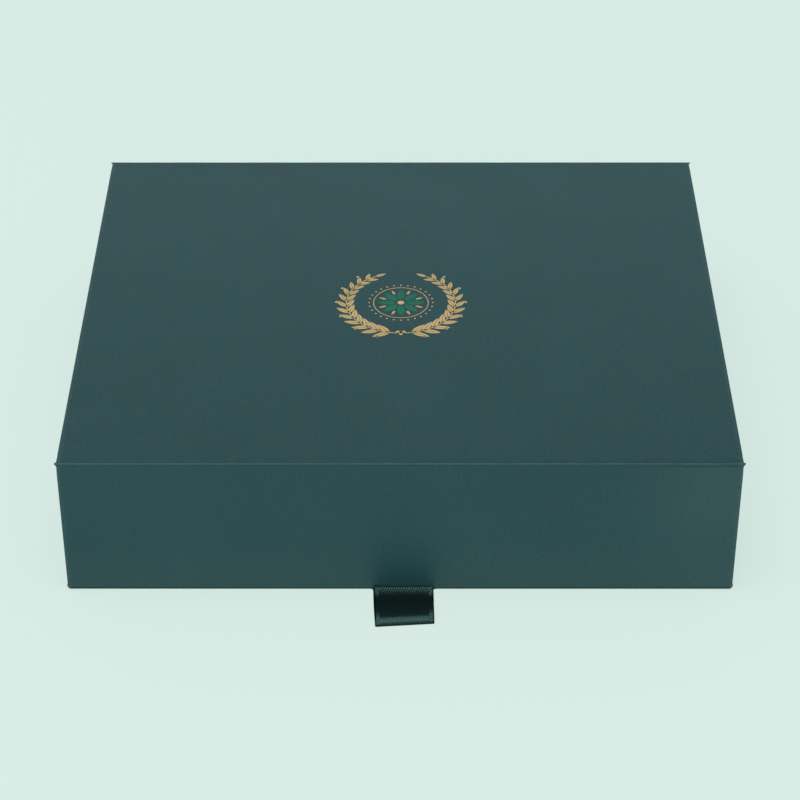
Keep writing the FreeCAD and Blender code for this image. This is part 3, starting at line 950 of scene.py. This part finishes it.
# %% Tray paper
wall = 2 * mm + 2 * paper
floor_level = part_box("tray_floor")[1].z
bm = cuboid(tray_low, tray_high)
well = facing(bm, top)
bmesh.ops.inset_region(bm, faces=well, thickness=wall, use_even_offset=True)
push(bm, well, (0, 0, floor_level - tray_high.z))
flat = facing(bm, top)
well_floor = [f for f in flat if abs(f.calc_center_median().z - floor_level) < touching]
bmesh.ops.delete(bm, geom=well_floor + facing(bm, bottom), context="FACES")
at_rim = [e for e in bm.edges if all(abs(v.co.z - tray_high.z) < touching for v in e.verts)]
rim = [e for e in at_rim if e.calc_face_angle(0) > sharp_turn]
at_side = [e for e in bm.edges if abs(abs(e.verts[0].co.x) - tray_high.x) < touching]
upright = [e for e in at_side if abs(e.verts[0].co.z - e.verts[1].co.z) > wall]
soften(bm, rim + upright)
thicken(bm, thin_paper, highest(bm))
piece("tray_paper", bm, liner_paper, body="tray", stands_for=["tray_wrap"])

# %% Corner laps
lap_width, lap_rise = 10 * mm, 0.14 * mm
lap_thickness = 0.95 * lap_rise
lap_foot = floor_level + 2 * paper
lap_top, lap_low_top = tray_high.z - 1.2 * mm, tray_high.z - 4 * mm
bm = bmesh.new()
for side in (-1, 1):
    x = side * (tray_high.x - wall - lap_rise)
    for near, way in ((tray_low.y + wall, 1), (tray_high.y - wall, -1)):
        far = near + way * lap_width
        corners = (x, near, lap_foot), (x, far, lap_foot), (x, far, lap_low_top), (x, near, lap_top)
        lap = bm.faces.new([bm.verts.new(c) for c in corners])
        push(bm, [lap], (side * lap_thickness, 0, 0))
piece("tray_corner_laps", bm, liner_paper, body="tray")

# %% [markdown]
# ## Ribbon pull
# The ribbon is one strip, folded at its front end. Both tails are glued behind the flap's
# liner, bend under the flap's edge and come out. The upper ply bulges a little at the flap,
# sinks, rises in a low hump and falls towards the fold; the lower ply runs back on the table.
# Its path is drawn from the side once, and the strip is pulled across the width, with the
# front end a little askew.

# %% Path of the ribbon
half_ply = ribbon_thickness / 2
ribbon_centre = (tail_low.x + tail_high.x) / 2
loop_reach = 23.4 * mm
curve_steps, bend_steps = 9, 6
bend_y = tail_high.y - 4 * half_ply - edge_radius
bend_z = flap_low.z + edge_radius
upper_bend, lower_bend = edge_radius + half_ply, edge_radius + 3 * half_ply
upper_level, lower_level = flap_low.z - half_ply, flap_low.z - 3 * half_ply
table_level = 0.05 * mm + half_ply


def along_front(s, z):
    """A point s in front of the case and z above the table."""
    return (0, case_front - s, z)


def bend(radius, first, last):
    """Points round the flap's edge, as angles from level towards the tray to straight down."""
    angles = [math.radians(first + (last - first) * i / bend_steps) for i in range(bend_steps + 1)]
    return [(0, bend_y + radius * math.cos(a), bend_z + radius * math.sin(a)) for a in angles]


upper_run = [along_front(s * mm, z * mm) for s, z in (
    (0.14, 0.80), (0.26, 1.64), (0.55, 1.82), (1.7, 1.36), (2.9, 0.92), (4.2, 0.60), (5.6, 0.48),
    (7.9, 0.70), (9.9, 1.16), (12.3, 1.76), (14.7, 2.24), (17.4, 2.54), (20.3, 2.36),
    (21.9, 1.80), (22.85, 1.20),
)]
nose = [along_front(loop_reach - half_ply - 0.02 * mm, 0.45 * mm)]
lower_run = [along_front(s * mm, table_level) for s in (22.4, 17, 11, 5, 2.4)]
flap_gap = [along_front(0.6 * mm, lower_level), along_front(0, lower_level)]
down, back_up = bend(upper_bend, 0, -90), bend(lower_bend, -90, 0)
knots = [down[-1], along_front(0, upper_level)] + upper_run + nose + lower_run + flap_gap
path = [(0, tail_high.y - 3 * half_ply, tail_high.z)] + down
path += soft_curve(knots + back_up[:1], curve_steps)[1:] + back_up[1:]
path += [(0, tail_high.y - half_ply, tail_high.z)]
path = [Vector(p) for p in path]
lengths = [0.0]
for a, b in zip(path, path[1:]):
    lengths.append(lengths[-1] + (b - a).length)
print("ribbon", round(lengths[-1] / mm, 1), "mm long,", len(path), "points")

# %% The ribbon
ribbon_columns = 26
end_skew = 2.0 * mm
end_drift = 0.45 * mm
end_pinch = 0.25 * mm
crown = 0.10 * mm
ply_drift = 0.35 * mm
ribbon_wave, wave_across, wave_along = 0.05 * mm, 6 * mm, 5 * mm
crease_shade_half = 0.9 * mm

bm = bmesh.new()
along = bm.verts.layers.float.new("along")
left_edge = ribbon_centre - ribbon_width / 2
chain = [bm.verts.new((left_edge, p.y, p.z)) for p in path]
for v, length in zip(chain, lengths):
    v[along] = length
column = ribbon_width / ribbon_columns
pull_across(bm, chain, [left_edge + column * i for i in range(ribbon_columns + 1)])

uv = bm.loops.layers.uv.new("UVMap")
for face in bm.faces:
    for corner in face.loops:
        corner[uv].uv = (corner.vert.co.x - left_edge, corner.vert[along])

fold_length = lengths[min(range(len(path)), key=lambda i: path[i].y)]
# The front fold is marked for painted shade in the satin.
crease_shade = bm.verts.layers.float.new("crease")
for v in bm.verts:
    t = (v.co.x - ribbon_centre) / (ribbon_width / 2)
    out = (case_front - v.co.y) / loop_reach
    v[crease_shade] = max(0.0, 1 - abs(v[along] - fold_length) / crease_shade_half)
    if out > 0:
        upper = v[along] < fold_length
        hump = math.sin(math.pi * min(out, 1)) ** 2
        wave = noise.noise(Vector((v.co.x / wave_across, v[along] / wave_along, 3.0)))
        v.co.x += (end_drift - end_pinch * t) * out * out - (0 if upper else ply_drift * (1 - out))
        v.co.y += end_skew / 2 * t * out
        if upper:
            v.co.z += hump * (crown * (1 - t * t) + ribbon_wave * wave)
bmesh.ops.recalc_face_normals(bm, faces=bm.faces[:])
bm.normal_update()
for v in bm.verts:
    v.co += v.normal * half_ply
bmesh.ops.solidify(bm, geom=bm.faces[:], thickness=ribbon_thickness)
ribbon_nodes = ["pull_ribbon_tails", "pull_ribbon_loop"]
ribbon = piece("pull_ribbon", bm, ribbon_satin, 80, stands_for=ribbon_nodes)
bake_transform(ribbon, "flap", "pull_tab", start=(0, case_front + 0.1 * mm, 0), end=(0, case_front - 3.4 * mm, 0))

# %% [markdown]
# ## Foil ornament
# The middle of the lid carries a hot-stamped ornament about 60 mm across: a wreath of two leafy
# branches in pale gold foil, with a flower in green foil inside. Foil is a print, so each shape
# is a flat outline, raised by a hair. One leaf is drawn as two halves with a bare vein and is
# then set along the branches at shrinking sizes. The stems are short edges spun round the middle.

# %% Foils
def foil(name, colour, drift_to):
    material, tree, shader = finish(name, Metallic=1.0, Roughness=0.36)
    where = place(tree)
    drift = grain(tree, where, 12 * mm, 3.0)
    marked = between(tree, grain(tree, where, 0.6 * mm, 4.0), 0.28, 0.48)
    tone = ramp(tree, drift, (0.3, colour), (0.7, drift_to))
    fill(tree, shader, Base_Color=tone, Roughness=marked)
    bumped(tree, shader, (grain(tree, where, 0.5 * mm, 3.0), 0.01 * mm, 0.4))
    return material


gold = foil("pale_gold_foil", (0.86, 0.63, 0.29), (0.95, 0.72, 0.36))
green = foil("green_foil", (0.02, 0.20, 0.12), (0.03, 0.32, 0.20))
print("foils", gold.name, green.name)

# %% Shapes of the ornament
ornament_centre = Vector((0.3 * mm, -2.7 * mm, case_top))
foil_rise, foil_gap = 0.02 * mm, 0.004 * mm
dot_sides, arc_steps, rim_points = 14, 40, 9


def turned(radius, angle, heading):
    """A place round the middle: an angle in degrees, and a heading of its own."""
    spot = Vector((math.cos(math.radians(angle)), math.sin(math.radians(angle)), 0)) * radius
    turn = Matrix.Rotation(math.radians(heading - 90), 4, "Z")
    return Matrix.Translation(ornament_centre + spot) @ turn


def leaf(bm, length, width, vein, at):
    """A leaf that points along +Y from its stalk: two halves beside a bare vein."""
    belly, shoulder = (0.62 * width, 0.22 * length, 0), (0.50 * width, 0.72 * length, 0)
    rim = interpolate_bezier((vein / 2, 0, 0), belly, shoulder, (0, length, 0), rim_points)
    for side in (-1, 1):
        points = [(side * p.x, p.y, 0) for p in rim] + [(side * vein / 4, 0.8 * length, 0)]
        bm.faces.new([bm.verts.new(at @ Vector(p)) for p in points])


def dot(bm, radius, at):
    bmesh.ops.create_circle(bm, cap_ends=True, radius=radius, segments=dot_sides, matrix=at)


def arc(bm, radius, width, start, end):
    """A stem of even width round the middle, from one angle to another."""
    sides = [turned(radius + w, start, 0).to_translation() for w in (-width / 2, width / 2)]
    ends = [bm.verts.new(p) for p in sides]
    bmesh.ops.spin(bm, geom=ends + [bm.edges.new(ends)], cent=ornament_centre, axis=(0, 0, 1),
                   angle=math.radians(end - start), steps=arc_steps)


def stamped(name, bm, material):
    """Raises every outline by the foil's thickness and makes the piece."""
    push(bm, bm.faces[:], (0, 0, foil_rise))
    bmesh.ops.translate(bm, vec=(0, 0, foil_gap), verts=bm.verts[:])
    return piece(name, bm, material, body="lid")


# %% Wreath
wreath_radius, stem_width, stem_start = 24.3 * mm, 0.5 * mm, 4
leaves_on_branch, leaf_spread = 12, 36
branch_start, branch_end = 12, 152
leaf_long, leaf_shrink, leaf_wide, vein = 8.2 * mm, 3.0 * mm, 0.4, 0.3 * mm
berry, berry_out, berry_back = 0.62 * mm, 4.6 * mm, 3
knot = 0.85 * mm
ring_radius, ring_width = 12.2 * mm, 0.35 * mm
beads, bead, bead_radius = 28, 0.42 * mm, 14.2 * mm
petals = 8

bm = bmesh.new()
for side in (-1, 1):
    arc(bm, wreath_radius, stem_width, -90 - side * stem_start, -90 + side * branch_end)
    for i in range(leaves_on_branch + 1):
        share = i / leaves_on_branch
        angle = -90 + side * (branch_start + (branch_end - branch_start) * share)
        length = leaf_long - leaf_shrink * share
        last = i == leaves_on_branch
        for spread in (0,) if last else (-leaf_spread, leaf_spread):
            at = turned(wreath_radius, angle, angle + side * 90 + spread)
            leaf(bm, length, leaf_wide * length, vein, at)
        if i % 2 and not last:
            dot(bm, berry, turned(wreath_radius + berry_out, angle - side * berry_back, 0))
for spread, out in ((-3.2, -0.9 * mm), (0, 0.7 * mm), (3.2, -0.9 * mm)):
    dot(bm, knot, turned(wreath_radius + out, -90 + spread, 0))
arc(bm, ring_radius, ring_width, 0, 360)
for i in range(beads):
    dot(bm, bead, turned(bead_radius, 360 * i / beads, 0))
for i in range(petals):
    angle = 360 * (i + 0.5) / petals
    leaf(bm, 3.6 * mm, 1.3 * mm, 0.2 * mm, turned(7.0 * mm, angle, angle))
dot(bm, 1.5 * mm, turned(0, 0, 0))
stamped("gold_foil_wreath", bm, gold)

# %% Flower
bm = bmesh.new()
for i in range(petals):
    angle = 360 * i / petals
    leaf(bm, 8.2 * mm, 3.6 * mm, 0.3 * mm, turned(2.2 * mm, angle, angle))
stamped("green_foil_flower", bm, green)

# %% [markdown]
# ## Floor, light and world
# The box stands on a pale mint ground under soft light: a large lamp overhead, a weaker one low
# in front and a white sky. The ground glows in its own colour for the camera and in mirrors, and
# a part of it is lit, so that it keeps the box's shadow. Where something stands less than 1.5 mm
# above it, the ground's colour is darkened to a dark teal as painted contact shadow, so that the
# gap below the flap is as dark as a real one.

# %% Floor and backdrop
mint = (0.701, 0.847, 0.799)
lit_share = 0.22
contact_reach, contact_samples = 1.5 * mm, 32
painted_contact_shade, contact_step = (0.024, 0.050, 0.049), (0.46, 0.68)
floor_size = 6.0
bm = bmesh.new()
bmesh.ops.create_grid(bm, x_segments=1, y_segments=1, size=floor_size)
floor_data = bpy.data.meshes.new("floor")
bm.to_mesh(floor_data)
bm.free()
floor = added("floor", floor_data)

ground = bpy.data.materials.new("mint_ground")
ground.use_nodes = True
tree = ground.node_tree
tree.nodes.remove(tree.nodes["Principled BSDF"])
contact = node(tree, "AmbientOcclusion", Distance=contact_reach)
contact.samples = contact_samples
near = smooth(tree, contact.outputs["AO"], *contact_step)
# The colour darkens to painted contact shade where something stands close above.
colour = mixed(tree, near, painted_contact_shade, mint)
lit = node(tree, "BsdfDiffuse", Color=colour).outputs[0]
plain = node(tree, "Emission", Color=colour, Strength=1.0).outputs[0]
rays = node(tree, "LightPath").outputs
mirrored = sums(tree, "MAXIMUM", rays["Is Glossy Ray"], rays["Is Transmission Ray"])
seen = sums(tree, "MAXIMUM", rays["Is Camera Ray"], mirrored)
both = node(tree, "MixShader", Fac=sums(tree, "MULTIPLY", seen, 1 - lit_share))
wire(tree, lit, both.inputs[1])
wire(tree, plain, both.inputs[2])
wire(tree, both.outputs[0], tree.nodes["Material Output"].inputs["Surface"])
floor_data.materials.append(ground)
print("ground", ground.name)

# %% World and lamps
sky_low, sky_high = 0.74, 0.38
world = bpy.data.worlds.new("studio")
bpy.context.scene.world = world
world.use_nodes = True
tree = world.node_tree
way = node(tree, "TexCoord").outputs["Generated"]
_, _, height = node(tree, "SeparateXYZ", Vector=way).outputs
fade = node(tree, "MapRange", Value=height, To_Min=sky_low, To_Max=sky_high).outputs[0]
fill(tree, tree.nodes["Background"], Color=(1, 1, 1), Strength=fade)


def softbox(name, aim_from, size, power):
    """A white lamp that looks at the box from a point."""
    lamp = bpy.data.lights.new(name, "AREA")
    lamp.shape = "RECTANGLE"
    lamp.size, lamp.size_y = size
    lamp.energy = power
    made = added(name, lamp)
    made.location = aim_from
    made.rotation_euler = (-Vector(aim_from)).to_track_quat("-Z", "Y").to_euler()


softbox("top_light", (-0.2, -0.35, 2.2), (1.8, 1.3), 24)
softbox("front_light", (-0.3, -2.3, 0.9), (1.8, 1.0), 12)
bpy.context.scene.view_settings.view_transform = "Standard"
print("sky", sky_low, sky_high)
